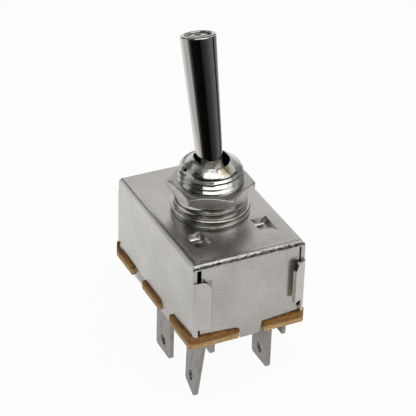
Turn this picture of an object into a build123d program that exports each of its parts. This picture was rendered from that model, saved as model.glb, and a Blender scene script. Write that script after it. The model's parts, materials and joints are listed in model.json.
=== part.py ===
import os
from math import cos, radians, sin, sqrt, tan

from build123d import *

# Heavy-duty toggle switch for a power take-off, two poles, on and off.
# Millimetres. The origin lies on the bushing's axis, on the seat that meets the panel.
# +Z points out of the panel along the bushing, Y is the way the lever is thrown,
# and the frame's short side lies along X.

# Folded steel frame
frame_width = 22.5
frame_length = 33.6
frame_height = 15.0
sheet = 0.8
fold_radius = 0.8
top_bend_radius = 1.2
left_corner_slot = 0.85
right_corner_slot = 0.35

# Flaps of the long walls, folded round the short walls
flap_gap = 0.1
flap_length = 3.3
flap_turn = 1.2
flap_low = 1.5
flap_high = 11.5
flap_round = 1.8
flap_bend_radius = 0.75
loose_flap_length = 2.9
loose_flap_low = 2.7
loose_flap_high = 11.0
loose_flap_spread = 24.0
flap_round_share = 0.9

# Lower edges of the long walls and the tabs that fold under the base plate
skirt_drop = 1.1
skirt_front_drop = 0.1
end_skirt_drop = 0.95
end_skirt_corner_drop = 0.3
long_tab_width = 4.5
long_tab_pitch = 12.55
long_tab_shift = 0.5
long_tab_round = 1.5
end_tab_width = 5.0
end_tab_narrowing = 0.7
end_tab_shift = 0.7
tab_reach = 2.4
tab_clearance = 0.1

# Pressed stops in the top of the frame
stop_width = 3.2
stop_length = 5.2
stop_depth = 1.3
stop_spacing = 13.2
stop_from_axis = 6.6
stop_side_lean = 0.5
stop_back_lean = 0.6

# Laminated base plate
base_thickness = 2.85
base_overhang = 0.5
base_corner_radius = 0.8

# Threaded bushing
thread_radius = 6.0
thread_end = 6.5
thread_runout = 0.7
runout_radius = 5.5
bushing_top = 9.3
mouth_radius = 3.4
dome_radius = 4.95
dome_height = 8.1
flange_radius = 7.5
flange_thickness = 1.5
flange_edge = 0.25
shank_radius = 5.9
shank_clearance = 0.05
staked_radius = 6.8
staked_height = 0.8

# Washers and nut on the thread
washer_bore_clearance = 0.15
flat_washer_radius = 7.05
flat_washer_thickness = 1.2
washer_edge = 0.15
lock_washer_radius = 6.9
lock_washer_thickness = 1.25
lock_washer_split = 0.9
nut_width = 14.3
nut_thickness = 2.3
nut_turn = -26.0
nut_thread_clearance = 0.02
nut_chamfer_angle = 25.0
nut_face_radius = 6.95

# Lever
pivot_height = 5.6
throw = 15.5
lever_length = 26.55
tip_radius = 3.35
tip_edge = 0.3
tip_recess_radius = 2.5
tip_recess_depth = 0.7
peen_share = 0.8
sleeve_foot_radius = 2.45
sleeve_foot = 3.0
core_radius = 1.7
core_fit = 0.02
peen_radius = 2.0
ball_radius = 3.05
stem_radius = 2.5
stem_length = 13.6
slot_clearance = 0.1
throw_clearance = 0.15

# Pivot pin
pin_radius = 1.0
pin_length = 9.2
pin_running_fit = 0.05
pin_end_clearance = 0.1

# Plunger and its spring
plunger_reach = 3.9
plunger_radius = 1.6
plunger_fit = 0.05
plunger_shank = 6.4
drive_ball_radius = 2.1
plunger_bore_top = 3.8
plunger_wire = 0.4
plunger_turns = 4
wire_sides = 6

# Carriage
carriage_side_gap = 0.5
carriage_length = 16.5
carriage_height = 5.4
carriage_shift = -0.9
carriage_lift = 0.05
carriage_corner_radius = 1.2
socket_clearance = 0.15
socket_spare_depth = 0.15
ear_width = 1.9
ear_length = 2.2
ear_side_gap = 0.35
stop_clearance = 0.3
ceiling_clearance = 0.35

# Bridging contacts and their springs
bridge_spacing = 10.0
bridge_width = 2.8
bridge_thickness = 0.7
bridge_end = 1.6
bump_radius = 1.2
bump_height = 0.5
contact_gap = 0.03
pocket_clearance = 0.15
pocket_depth = 3.6
contact_spring_radius = 1.0
contact_wire = 0.3
contact_turns = 3

# Contact rivets
rivet_head_radius = 1.5
rivet_head_height = 0.5
rivet_shank_radius = 0.8
rivet_foot_radius = 1.4
rivet_foot_height = 0.5
rivet_foot_edge = 0.25

# Terminals, each a stamped and bent blade
blade_width = 6.3
blade_thickness = 0.8
blade_chamfer = 0.45
blade_hole_radius = 1.0
blade_hole_height = 2.7
slot_play = 0.05
strip_margin = 0.5
middle_left_blade_x = -8.75
middle_left_tip = -32.0
front_left_blade_x = -8.15
front_left_blade_y = -12.7
front_left_tip = -31.6
twist_start = -21.0
blade_twist = 10.5
blade_lean = 4.1
centre_blade_x = -0.6
centre_blade_y = -1.2
centre_tip = -32.3
front_right_blade_x = 5.95
front_right_blade_y = -11.7
front_right_tip = -30.15
short_lug_x = 8.85
short_lug_width = 3.2
short_lug_tip = -23.1

# Insulating liner between the frame and the works
liner_thickness = 0.4
liner_gap = 0.05
liner_end_gap = 0.8
liner_hole_gap = 0.3

# Levels and sizes that follow from the ones above
half_width = frame_width / 2
half_length = frame_length / 2
frame_top = -flange_thickness
frame_bottom = frame_top - frame_height
ceiling = frame_top - sheet
wall_bottom = frame_bottom - skirt_drop
base_bottom = frame_bottom - base_thickness
inner_half_width = half_width - sheet
inner_half_length = half_length - sheet
slot_half_width = ball_radius + slot_clearance
slot_half_length = (
    (bushing_top - pivot_height) * tan(radians(throw))
    + sleeve_foot_radius / cos(radians(throw))
    + throw_clearance
)
stem_slot_half_length = (
    (pivot_height - ceiling + staked_height) * tan(radians(throw))
    + stem_radius / cos(radians(throw))
    + throw_clearance
)
pin_slot_radius = pin_radius + pin_running_fit
drive_length = stem_length + plunger_reach
drive_offset = drive_length * sin(radians(throw))
contact_travel = 2 * drive_offset
rear_contact_y = -drive_offset + contact_travel / 4
front_contact_y = rear_contact_y - contact_travel
bridge_x = bridge_spacing / 2
strip_top = frame_bottom
washer_bore = thread_radius + washer_bore_clearance
lock_washer_bottom = flat_washer_thickness
nut_bottom = lock_washer_bottom + lock_washer_thickness
plunger_bore_radius = plunger_radius + plunger_fit
plunger_top = drive_length - drive_ball_radius / 2 - plunger_shank
flap_plane = half_length + flap_gap
liner_inner_half_width = inner_half_width - liner_gap - liner_thickness
carriage_half_width = liner_inner_half_width - carriage_side_gap
lug_y = front_right_blade_y - (blade_width - short_lug_width) / 2
rest_tilt = Rotation(-throw, 0, 0)


def block(x_range, y_range, z_range):
    ranges = [sorted(pair) for pair in (x_range, y_range, z_range)]
    centre = [(low + high) / 2 for low, high in ranges]
    size = [high - low for low, high in ranges]
    return Pos(*centre) * Box(*size)


def rod(radius, low, high, x=0.0, y=0.0):
    return Pos(x, y, (low + high) / 2) * Cylinder(radius, high - low)


def cross_rod(radius, length, y, z):
    return Pos(0, y, z) * Rot(0, 90, 0) * Cylinder(radius, length)


def turned(points):
    outline = make_face(Plane.XZ * Polyline(*points, close=True))
    return revolve(outline, Axis.Z)


def on_lever(shape):
    return Pos(0, 0, pivot_height) * rest_tilt * shape


def coil(radius, wire, low, high, turns):
    pitch = (high - low - wire) / turns
    path = Helix(pitch, pitch * turns, radius)
    start = Plane(origin=path @ 0, z_dir=path % 0)
    wire_section = start * RegularPolygon(wire / 2, wire_sides)
    return Pos(0, 0, low + wire / 2) * sweep(wire_section, path)


def long_tab_centres():
    return [long_tab_shift - long_tab_pitch / 2, long_tab_shift + long_tab_pitch / 2]


def skirt(leg_bottom, spare):
    # Lower outline of a long wall, seen from the side: the edge drops from the front,
    # and each tab runs into it with a concave round at its rear.
    knee = long_tab_centres()[0] + long_tab_width / 2
    outline = make_face(
        Polyline(
            (-half_length - spare, frame_bottom + sheet),
            (-half_length - spare, frame_bottom - skirt_front_drop - spare),
            (knee, wall_bottom - spare),
            (half_length + spare, wall_bottom - spare),
            (half_length + spare, frame_bottom + sheet),
            close=True,
        )
    )
    leg_height = frame_bottom - leg_bottom
    size = long_tab_round
    for y_centre in long_tab_centres():
        leg = Rectangle(long_tab_width + 2 * spare, leg_height)
        outline += Pos(y_centre, leg_bottom + leg_height / 2) * leg
        y_edge = y_centre + long_tab_width / 2
        corner = Pos(y_edge + size / 2, wall_bottom - size / 2) * Rectangle(size, size)
        outline += corner - Pos(y_edge + size, wall_bottom - size) * Circle(size - spare)
    return outline


def end_skirt(spare):
    # Lower outline of a short wall, seen from the end: it drops from the corners to the tab.
    low = frame_bottom - end_skirt_drop - spare
    corner_low = frame_bottom - end_skirt_corner_drop - spare
    root = end_tab_width / 2
    reach = inner_half_width + spare
    return make_face(
        Polyline(
            (-reach, frame_bottom + sheet),
            (-reach, corner_low),
            (end_tab_shift - root, low),
            (end_tab_shift + root, low),
            (reach, corner_low),
            (reach, frame_bottom + sheet),
            close=True,
        )
    )


def along_end(outline, y_range):
    low, high = sorted(y_range)
    end_view = Plane(origin=(0, high, 0), x_dir=(1, 0, 0), z_dir=(0, -1, 0))
    return extrude(end_view * outline, amount=high - low)


def along_wall(outline, x_range):
    low, high = sorted(x_range)
    side_view = Plane(origin=(low, 0, 0), x_dir=(0, 1, 0), z_dir=(1, 0, 0))
    return extrude(side_view * outline, amount=high - low)


def long_tab(side, y_centre):
    y_range = (y_centre - long_tab_width / 2, y_centre + long_tab_width / 2)
    foot_bottom = base_bottom - sheet
    leg = block((side * half_width, side * inner_half_width), y_range, (foot_bottom, wall_bottom))
    foot_x = (side * half_width, side * (half_width - tab_reach))
    tab = leg + block(foot_x, y_range, (foot_bottom, base_bottom))
    fold_line = tab.edges().filter_by(Axis.Y).filter_by_position(
        Axis.Z, foot_bottom - sheet / 10, foot_bottom + sheet / 10
    )
    outer_fold = fold_line.sort_by(lambda edge: -abs(edge.center().X))[0]
    return fillet(outer_fold, fold_radius)


def end_tab(end):
    low = base_bottom - sheet
    root = end_tab_width / 2
    tip = root - end_tab_narrowing
    middle = end_tab_shift
    outline = Polyline(
        (middle - root, frame_bottom),
        (middle + root, frame_bottom),
        (middle + tip, low),
        (middle - tip, low),
        close=True,
    )
    wall = Plane(origin=(0, end * half_length, 0), x_dir=(1, 0, 0), z_dir=(0, -1, 0))
    leg = extrude(wall * make_face(outline), amount=end * sheet)
    foot_y = (end * half_length, end * (half_length - tab_reach))
    tab = leg + block((middle - tip, middle + tip), foot_y, (low, base_bottom))
    fold_line = tab.edges().filter_by(Axis.X).filter_by_position(
        Axis.Z, low - sheet / 10, low + sheet / 10
    )
    outer_fold = fold_line.sort_by(lambda edge: -abs(edge.center().Y))[0]
    return fillet(outer_fold, fold_radius)


def wall_flap(side, end, length, turn, low, high, spread):
    # The long wall runs past the short wall, turns the corner and lies over it.
    outer_y = end * (flap_plane + sheet)
    inner_y = end * flap_plane
    z_all = (frame_bottom, frame_bottom + high)
    wall = block((side * half_width, side * inner_half_width), (end * half_length, outer_y), z_all)
    turned_strip = block((side * half_width, side * (half_width - turn)), (inner_y, outer_y), z_all)
    corner = wall + turned_strip
    upright = corner.edges().filter_by(Axis.Z).sort_by(
        lambda edge: -abs(edge.center().X) - abs(edge.center().Y)
    )[0]
    corner = fillet(upright, flap_bend_radius)
    # The flap is drawn from its hinge line towards -X, then turned into place.
    reach = length - turn
    z_flap = (frame_bottom + low, frame_bottom + high)
    flap = block((0, -side * reach), (0, end * sheet), z_flap)
    free_top = flap.edges().filter_by(Axis.Y).sort_by(
        lambda edge: edge.center().Z + abs(edge.center().X)
    )[-1]
    flap = fillet(free_top, min(flap_round, flap_round_share * reach))
    hinge = Pos(side * (half_width - turn), inner_y, 0)
    return corner + hinge * Rot(0, 0, -side * end * spread) * flap


def pressed_stop(x_centre, spare):
    # Wedge with a floor that rises to the front and a steep end towards the bushing.
    back = -stop_from_axis
    front = back - stop_length
    half = stop_width / 2
    floor = frame_top - stop_depth
    outline = Polyline(
        (front - spare, frame_top - spare),
        (front - spare, frame_top + sheet),
        (back + spare, frame_top + sheet),
        (back + spare, frame_top - spare),
        (back - stop_back_lean + spare, floor - spare),
        close=True,
    )
    side_view = Plane(origin=(x_centre, 0, 0), x_dir=(0, 1, 0), z_dir=(1, 0, 0))
    wedge = extrude(side_view * make_face(outline), amount=half + spare, both=True)
    lean = stop_side_lean * (stop_depth + spare) / stop_depth
    flanks = Polyline(
        (x_centre - half - spare, frame_top + sheet),
        (x_centre + half + spare, frame_top + sheet),
        (x_centre + half + spare, frame_top - spare),
        (x_centre + half + spare - lean, floor - spare),
        (x_centre - half - spare + lean, floor - spare),
        (x_centre - half - spare, frame_top - spare),
        close=True,
    )
    end_view = Plane(origin=(0, 0, 0), x_dir=(1, 0, 0), z_dir=(0, -1, 0))
    return wedge & extrude(end_view * make_face(flanks), amount=frame_length, both=True)


def steel_frame():
    outer = block((-half_width, half_width), (-half_length, half_length), (frame_bottom, frame_top))
    outer = fillet(outer.faces().sort_by(Axis.Z)[-1].edges(), top_bend_radius)
    inner = block(
        (-inner_half_width, inner_half_width),
        (-inner_half_length, inner_half_length),
        (frame_bottom - sheet, ceiling),
    )
    inner = fillet(inner.faces().sort_by(Axis.Z)[-1].edges(), top_bend_radius - sheet)
    frame = outer - inner
    for side, slot in ((-1, left_corner_slot), (1, right_corner_slot)):
        for end in (-1, 1):
            slot_x = (side * inner_half_width, side * (inner_half_width - slot))
            slot_y = (end * (half_length + sheet), end * (inner_half_length - sheet))
            frame -= block(slot_x, slot_y, (frame_bottom - sheet, frame_top - top_bend_radius))
    for side in (-1, 1):
        frame += along_wall(skirt(base_bottom, 0), (side * half_width, side * inner_half_width))
        for y_centre in long_tab_centres():
            frame += long_tab(side, y_centre)
    for end in (-1, 1):
        frame += along_end(end_skirt(0), (end * half_length, end * inner_half_length))
        frame += end_tab(end)
    for side, end in ((-1, -1), (-1, 1), (1, 1)):
        frame += wall_flap(side, end, flap_length, flap_turn, flap_low, flap_high, 0)
    frame += wall_flap(
        1, -1, loose_flap_length, sheet, loose_flap_low, loose_flap_high, loose_flap_spread
    )
    for x_centre in (-stop_spacing / 2, stop_spacing / 2):
        frame += pressed_stop(x_centre, sheet) & block(
            (-half_width, half_width), (-half_length, half_length), (frame_bottom, ceiling + sheet / 2)
        )
        frame -= pressed_stop(x_centre, 0)
    return frame - rod(shank_radius + shank_clearance, ceiling - sheet, frame_top + sheet)


def terminal_blade(x, y, tip):
    blade = block(
        (x - blade_thickness / 2, x + blade_thickness / 2),
        (y - blade_width / 2, y + blade_width / 2),
        (tip, strip_top),
    )
    corners = blade.faces().sort_by(Axis.Z)[0].edges().filter_by(Axis.X)
    blade = chamfer(corners, blade_chamfer)
    hole = Pos(x, y, tip + blade_hole_height) * Rot(0, 90, 0)
    return blade - hole * Cylinder(blade_hole_radius, 2 * blade_thickness)


def contact_strip(x_from, x_to, y_blade, y_contact):
    # Flat foot of a terminal, let into the top of the base plate under a contact rivet.
    reach = rivet_head_radius + strip_margin
    y_low = min(y_blade - blade_width / 4, y_contact - reach)
    y_high = max(y_blade + blade_width / 4, y_contact + reach)
    return block((x_from, x_to), (y_low, y_high), (strip_top - blade_thickness, strip_top))


def left_strip(x_blade, y_blade, y_contact):
    x_outer = x_blade - blade_thickness / 2
    x_inner = -bridge_x + rivet_head_radius + strip_margin
    return contact_strip(x_outer, x_inner, y_blade, y_contact)


def middle_left_terminal():
    blade = terminal_blade(middle_left_blade_x, 0, middle_left_tip)
    return blade + left_strip(middle_left_blade_x, 0, rear_contact_y)


def front_left_terminal():
    # The free part of this blade leans outwards and is twisted towards its tip.
    def section(z, turn):
        x = front_left_blade_x - (base_bottom - z) * tan(radians(blade_lean))
        return Pos(x, front_left_blade_y, z) * Rot(0, 0, -turn)

    flat = Rectangle(blade_thickness, blade_width)
    levels = [section(base_bottom, 0), section(twist_start, 0), section(front_left_tip, blade_twist)]
    upper = loft([(levels[0] * flat).face(), (levels[1] * flat).face()], ruled=True)
    lower = loft([(levels[1] * flat).face(), (levels[2] * flat).face()], ruled=True)
    cut = Box(3 * blade_thickness, blade_chamfer * sqrt(2), blade_chamfer * sqrt(2))
    for edge in (-blade_width / 2, blade_width / 2):
        lower -= levels[2] * Pos(0, edge, 0) * Rot(45, 0, 0) * cut
    hole_z = front_left_tip + blade_hole_height
    hole_turn = blade_twist * (twist_start - hole_z) / (twist_start - front_left_tip)
    hole = section(hole_z, hole_turn) * Rot(0, 90, 0)
    lower -= hole * Cylinder(blade_hole_radius, 3 * blade_thickness)
    root = block(
        (front_left_blade_x - blade_thickness / 2, front_left_blade_x + blade_thickness / 2),
        (front_left_blade_y - blade_width / 2, front_left_blade_y + blade_width / 2),
        (base_bottom, strip_top),
    )
    strip = left_strip(front_left_blade_x, front_left_blade_y, front_contact_y)
    return root + upper + lower + strip


def centre_terminal():
    blade = terminal_blade(centre_blade_x, centre_blade_y, centre_tip)
    x_inner = centre_blade_x - blade_thickness / 2
    x_outer = bridge_x + rivet_head_radius + strip_margin
    return blade + contact_strip(x_inner, x_outer, centre_blade_y, rear_contact_y)


def front_right_terminal():
    # One stamping with a full blade and a short lug beside it.
    blade = terminal_blade(front_right_blade_x, front_right_blade_y, front_right_tip)
    lug_front = front_right_blade_y - blade_width / 2
    lug = block(
        (short_lug_x - blade_thickness / 2, short_lug_x + blade_thickness / 2),
        (lug_front, lug_front + short_lug_width),
        (short_lug_tip, strip_top),
    )
    x_inner = bridge_x - rivet_head_radius - strip_margin
    x_outer = short_lug_x + blade_thickness / 2
    strip = contact_strip(x_inner, x_outer, front_right_blade_y, front_contact_y)
    root = block(
        (front_right_blade_x, x_outer),
        (lug_front, front_right_blade_y),
        (strip_top - blade_thickness, strip_top),
    )
    return blade + lug + strip + root


def contact_places():
    return {
        "front_left": (-bridge_x, front_contact_y),
        "middle_left": (-bridge_x, rear_contact_y),
        "centre": (bridge_x, rear_contact_y),
        "front_right": (bridge_x, front_contact_y),
    }


def contact_rivet(x, y):
    head = Cone(rivet_shank_radius, rivet_head_radius, rivet_head_height)
    head = Pos(x, y, strip_top - rivet_head_height / 2) * head
    shank = rod(rivet_shank_radius, base_bottom, strip_top - rivet_head_height, x, y)
    foot = rod(rivet_foot_radius, base_bottom - rivet_foot_height, base_bottom, x, y)
    return head + shank + chamfer(foot.edges().sort_by(Axis.Z)[0], rivet_foot_edge)


def with_rivet_hole(terminal, place):
    return terminal - contact_rivet(*contact_places()[place])


def blade_slot(x, y, width):
    return block(
        (x - blade_thickness / 2 - slot_play, x + blade_thickness / 2 + slot_play),
        (y - width / 2 - slot_play, y + width / 2 + slot_play),
        (base_bottom - sheet, strip_top + sheet),
    )


def phenolic_base(terminals, rivets):
    x_half = half_width + base_overhang
    y_half = half_length + base_overhang
    base = block((-x_half, x_half), (-y_half, y_half), (base_bottom, frame_bottom))
    base = fillet(base.edges().filter_by(Axis.Z), base_corner_radius)
    deep = (base_bottom - sheet, frame_bottom + sheet)
    for side in (-1, 1):
        recess = (side * (x_half + sheet), side * (inner_half_width - tab_clearance))
        base -= along_wall(skirt(base_bottom - sheet, tab_clearance), recess)
    for end in (-1, 1):
        half = end_tab_width / 2 + tab_clearance
        notch_y = (end * (y_half + sheet), end * (inner_half_length - tab_clearance))
        base -= block((end_tab_shift - half, end_tab_shift + half), notch_y, deep)
        base -= along_end(end_skirt(tab_clearance), notch_y)
    base -= blade_slot(middle_left_blade_x, 0, blade_width)
    base -= blade_slot(front_left_blade_x, front_left_blade_y, blade_width)
    base -= blade_slot(centre_blade_x, centre_blade_y, blade_width)
    base -= blade_slot(front_right_blade_x, front_right_blade_y, blade_width)
    base -= blade_slot(short_lug_x, lug_y, short_lug_width)
    for fitted in terminals + rivets:
        base -= fitted
    return base


def lever_slot(half_length_of_slot, low, high):
    straight = half_length_of_slot - slot_half_width
    slot = block((-slot_half_width, slot_half_width), (-straight, straight), (low, high))
    for y_end in (-straight, straight):
        slot += rod(slot_half_width, low, high, 0, y_end)
    return slot


def bushing():
    staked_bottom = ceiling - staked_height
    foot = [
        (0, staked_bottom),
        (staked_radius - staked_height / 2, staked_bottom),
        (staked_radius, ceiling - staked_height / 2),
        (staked_radius, ceiling),
        (shank_radius, ceiling),
        (shank_radius, frame_top),
        (flange_radius - flange_edge, frame_top),
        (flange_radius, frame_top + flange_edge),
        (flange_radius, -flange_edge),
        (flange_radius - flange_edge, 0),
        (thread_radius, 0),
        (thread_radius, thread_end),
        (runout_radius, thread_end + thread_runout),
    ]
    dome = ThreePointArc(foot[-1], (dome_radius, dome_height), (mouth_radius, bushing_top))
    top = Polyline((mouth_radius, bushing_top), (0, bushing_top), foot[0])
    body = revolve(make_face(Plane.XZ * (Polyline(*foot) + dome + top)), Axis.Z)
    bore_low = staked_bottom - sheet
    bore_high = bushing_top + sheet
    body -= lever_slot(slot_half_length, bore_low, bore_high)
    body -= lever_slot(stem_slot_half_length, bore_low, pivot_height)
    slot_length = pin_length + 2 * pin_end_clearance
    body -= cross_rod(pin_slot_radius, slot_length, 0, pivot_height)
    half = slot_length / 2
    body -= block((-half, half), (-pin_slot_radius, pin_slot_radius), (bore_low, pivot_height))
    return body


def flat_washer():
    ring = rod(flat_washer_radius, 0, flat_washer_thickness)
    ring = chamfer(ring.edges(), washer_edge)
    return ring - rod(washer_bore, -sheet, flat_washer_thickness + sheet)


def lock_washer():
    ring = rod(lock_washer_radius, lock_washer_bottom, nut_bottom)
    ring = chamfer(ring.edges(), washer_edge)
    ring -= rod(washer_bore, lock_washer_bottom - sheet, nut_bottom + sheet)
    half = lock_washer_split / 2
    split = block((-half, half), (0, 2 * lock_washer_radius), (-nut_bottom, 2 * nut_bottom))
    return ring - Rot(0, 0, nut_turn) * split


def hex_nut():
    middle = nut_bottom + nut_thickness / 2
    flats = RegularPolygon(nut_width / 2, 6, major_radius=False, rotation=nut_turn)
    nut = Pos(0, 0, nut_bottom) * extrude(flats, amount=nut_thickness)
    corner = nut_width / 2 / cos(radians(30))
    drop = (corner - nut_face_radius) * tan(radians(nut_chamfer_angle))
    rounding = turned(
        [
            (0, nut_bottom),
            (nut_face_radius, nut_bottom),
            (corner, nut_bottom + drop),
            (corner, nut_bottom + nut_thickness - drop),
            (nut_face_radius, nut_bottom + nut_thickness),
            (0, nut_bottom + nut_thickness),
        ]
    )
    bore = Pos(0, 0, middle) * Cylinder(thread_radius + nut_thread_clearance, 2 * nut_thickness)
    return (nut & rounding) - bore


def lever_sleeve():
    rim = lever_length - tip_recess_depth
    bore = core_radius + core_fit
    return on_lever(
        turned(
            [
                (bore, sleeve_foot),
                (sleeve_foot_radius, sleeve_foot),
                (tip_radius, lever_length - tip_edge),
                (tip_radius - tip_edge, lever_length),
                (tip_recess_radius, lever_length),
                (tip_recess_radius, rim),
                (bore, rim),
            ]
        )
    )


def lever_core():
    rim = lever_length - tip_recess_depth
    rod_part = rod(core_radius, 0, rim)
    peen = Pos(0, 0, rim) * Sphere(peen_radius)
    flat_peen = peen & rod(peen_radius, rim, rim + peen_share * tip_recess_depth)
    shoulder = rod(sleeve_foot_radius, 0, sleeve_foot)
    core = rod_part + flat_peen + shoulder + Sphere(ball_radius)
    core += rod(stem_radius, -stem_length, 0)
    core -= rod(plunger_bore_radius, -stem_length - sheet, -plunger_bore_top)
    core -= cross_rod(pin_radius, 3 * ball_radius, 0, 0)
    return on_lever(core)


def pivot_pin():
    pin = cross_rod(pin_radius, pin_length, 0, pivot_height)
    return chamfer(pin.edges().filter_by(GeomType.CIRCLE), pin_radius / 5)


def plunger():
    shank = rod(plunger_radius, -drive_length, -plunger_top)
    ball = Pos(0, 0, -drive_length) * Sphere(drive_ball_radius)
    return on_lever(shank + ball)


def plunger_spring():
    radius = plunger_radius - plunger_wire / 2 - plunger_fit
    return on_lever(coil(radius, plunger_wire, -plunger_top, -plunger_bore_top, plunger_turns))


def carriage():
    bottom = frame_bottom + carriage_lift
    top = bottom + carriage_height
    y_centre = -drive_offset + carriage_shift
    y_half = carriage_length / 2
    x_range = (-carriage_half_width, carriage_half_width)
    body = block(x_range, (y_centre - y_half, y_centre + y_half), (bottom, top))
    body = fillet(body.edges().filter_by(Axis.Z), carriage_corner_radius)
    socket_floor = pivot_height - drive_length - drive_ball_radius - socket_spare_depth
    socket_radius = drive_ball_radius + socket_clearance
    body -= rod(socket_radius, socket_floor, top + sheet, 0, -drive_offset)
    ear_front = -stop_from_axis + sheet + stop_clearance
    ear_top = ceiling - liner_gap - liner_thickness - ceiling_clearance
    ear_outer = liner_inner_half_width - ear_side_gap
    for side in (-1, 1):
        ear_x = (side * ear_outer, side * (ear_outer - ear_width))
        body += block(ear_x, (ear_front, ear_front + ear_length), (bottom, ear_top))
        body -= bridge_pocket(side * bridge_x)
    return body


def bridge_span():
    low = front_contact_y - bridge_end
    high = rear_contact_y + bridge_end
    return low, high


def bridge_pocket(x):
    low, high = bridge_span()
    half = bridge_width / 2 + pocket_clearance
    roof = frame_bottom + pocket_depth
    y_range = (low - pocket_clearance, high + pocket_clearance)
    return block((x - half, x + half), y_range, (frame_bottom - sheet, roof))


def bridge_contact(x):
    low, high = bridge_span()
    bottom = frame_bottom + contact_gap + bump_height
    top = bottom + bridge_thickness
    bar = block((x - bridge_width / 2, x + bridge_width / 2), (low, high), (bottom, top))
    bar = fillet(bar.edges().filter_by(Axis.Z), bridge_width / 4)
    crown = (bump_radius**2 + bump_height**2) / (2 * bump_height)
    for y in (front_contact_y, rear_contact_y):
        dome = Pos(x, y, bottom - bump_height + crown) * Sphere(crown)
        bar += dome & rod(bump_radius, bottom - bump_height, bottom, x, y)
    return bar


def contact_spring(x):
    low = frame_bottom + contact_gap + bump_height + bridge_thickness
    high = frame_bottom + pocket_depth
    middle = (front_contact_y + rear_contact_y) / 2
    return Pos(x, middle, 0) * coil(contact_spring_radius, contact_wire, low, high, contact_turns)


def insulating_liner():
    outer_x = inner_half_width - liner_gap
    outer_y = inner_half_length - liner_end_gap
    top = ceiling - liner_gap
    low = frame_bottom + liner_gap
    sheet_box = block((-outer_x, outer_x), (-outer_y, outer_y), (low, top))
    bend_lines = sheet_box.faces().sort_by(Axis.Z)[-1].edges().filter_by(Axis.Y)
    sheet_box = fillet(bend_lines, top_bend_radius)
    inside_x = liner_inner_half_width
    hollow = block(
        (-inside_x, inside_x), (-half_length, half_length), (low - sheet, top - liner_thickness)
    )
    inner_lines = hollow.faces().sort_by(Axis.Z)[-1].edges().filter_by(Axis.Y)
    hollow = fillet(inner_lines, top_bend_radius - liner_thickness)
    liner = sheet_box - hollow
    liner -= rod(staked_radius + liner_hole_gap, ceiling - staked_height - sheet, ceiling + sheet)
    window_half = stop_width / 2 + sheet + liner_hole_gap
    for x in (-stop_spacing / 2, stop_spacing / 2):
        front = -stop_from_axis - stop_length - sheet - liner_hole_gap
        back = -stop_from_axis + sheet + liner_hole_gap
        high = (ceiling - liner_thickness - sheet, ceiling + sheet)
        liner -= block((x - window_half, x + window_half), (front, back), high)
    return liner


def build_parts():
    terminals = {
        "front_left": front_left_terminal(),
        "middle_left": middle_left_terminal(),
        "centre": centre_terminal(),
        "front_right": front_right_terminal(),
    }
    rivets = {name: contact_rivet(x, y) for name, (x, y) in contact_places().items()}
    parts = {
        "steel_frame": steel_frame(),
        "phenolic_base": phenolic_base(list(terminals.values()), list(rivets.values())),
        "bushing": bushing(),
        "flat_washer": flat_washer(),
        "lock_washer": lock_washer(),
        "hex_nut": hex_nut(),
        "lever_sleeve": lever_sleeve(),
        "lever_core": lever_core(),
        "pivot_pin": pivot_pin(),
        "plunger": plunger(),
        "plunger_spring": plunger_spring(),
        "carriage": carriage(),
        "insulating_liner": insulating_liner(),
    }
    for name, terminal in terminals.items():
        parts[f"{name}_terminal"] = with_rivet_hole(terminal, name)
        parts[f"{name}_rivet"] = rivets[name]
    for name, x in (("left", -bridge_x), ("right", bridge_x)):
        parts[f"{name}_bridge_contact"] = bridge_contact(x)
        parts[f"{name}_contact_spring"] = contact_spring(x)
    return parts


os.makedirs("parts", exist_ok=True)
for node, solid in build_parts().items():
    export_step(solid, f"parts/{node}.step")
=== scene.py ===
# %% [markdown]
# A heavy-duty toggle switch for a power take-off stands in front of a white background.
# Everything is built around the imported model, which gives each piece its true place and size.
# The frame is loaded first, and its whole box is kept, so that the floor can be set just under it.

# %% Load the frame
import json
import math

import bpy
from mathutils import Matrix, Vector


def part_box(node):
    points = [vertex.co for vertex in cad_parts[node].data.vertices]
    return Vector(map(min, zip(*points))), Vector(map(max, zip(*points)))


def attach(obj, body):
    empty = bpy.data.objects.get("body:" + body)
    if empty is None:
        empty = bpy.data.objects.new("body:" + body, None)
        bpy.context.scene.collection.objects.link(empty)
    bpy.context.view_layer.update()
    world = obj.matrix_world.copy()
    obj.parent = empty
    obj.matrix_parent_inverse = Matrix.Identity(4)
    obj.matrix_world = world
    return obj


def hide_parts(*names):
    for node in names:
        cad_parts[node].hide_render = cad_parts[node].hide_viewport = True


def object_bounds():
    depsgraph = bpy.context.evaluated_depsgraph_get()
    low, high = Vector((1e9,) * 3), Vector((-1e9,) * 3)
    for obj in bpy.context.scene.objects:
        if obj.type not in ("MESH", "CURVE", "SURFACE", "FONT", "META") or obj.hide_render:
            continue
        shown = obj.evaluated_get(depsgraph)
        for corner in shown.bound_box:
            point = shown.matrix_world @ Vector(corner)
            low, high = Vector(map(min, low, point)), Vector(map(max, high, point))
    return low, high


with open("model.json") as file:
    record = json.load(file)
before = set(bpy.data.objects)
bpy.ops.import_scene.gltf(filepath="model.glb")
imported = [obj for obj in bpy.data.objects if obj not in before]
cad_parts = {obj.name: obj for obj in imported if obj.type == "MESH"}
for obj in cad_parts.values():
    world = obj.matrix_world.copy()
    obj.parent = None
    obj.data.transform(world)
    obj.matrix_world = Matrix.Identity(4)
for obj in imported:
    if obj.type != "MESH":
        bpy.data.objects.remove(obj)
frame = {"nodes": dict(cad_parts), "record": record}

MM = 0.001
cad_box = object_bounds()
bpy.ops.object.select_all(action="DESELECT")

# %% [markdown]
# The camera comes before any piece, because every later choice is judged through it.
# The photo was taken from the front left, from above, with a long lens, so the edges hardly
# converge. The view is stated as an angle round the switch, a height, a small roll and a distance.

# %% Camera
camera_azimuth = math.radians(26.28)
camera_elevation = math.radians(32.33)
camera_roll = math.radians(1.744)
camera_distance = 340.4 * MM
camera_aim = Vector((-3.70, -6.63, 3.14)) * MM
focal_length = 162.6

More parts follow.
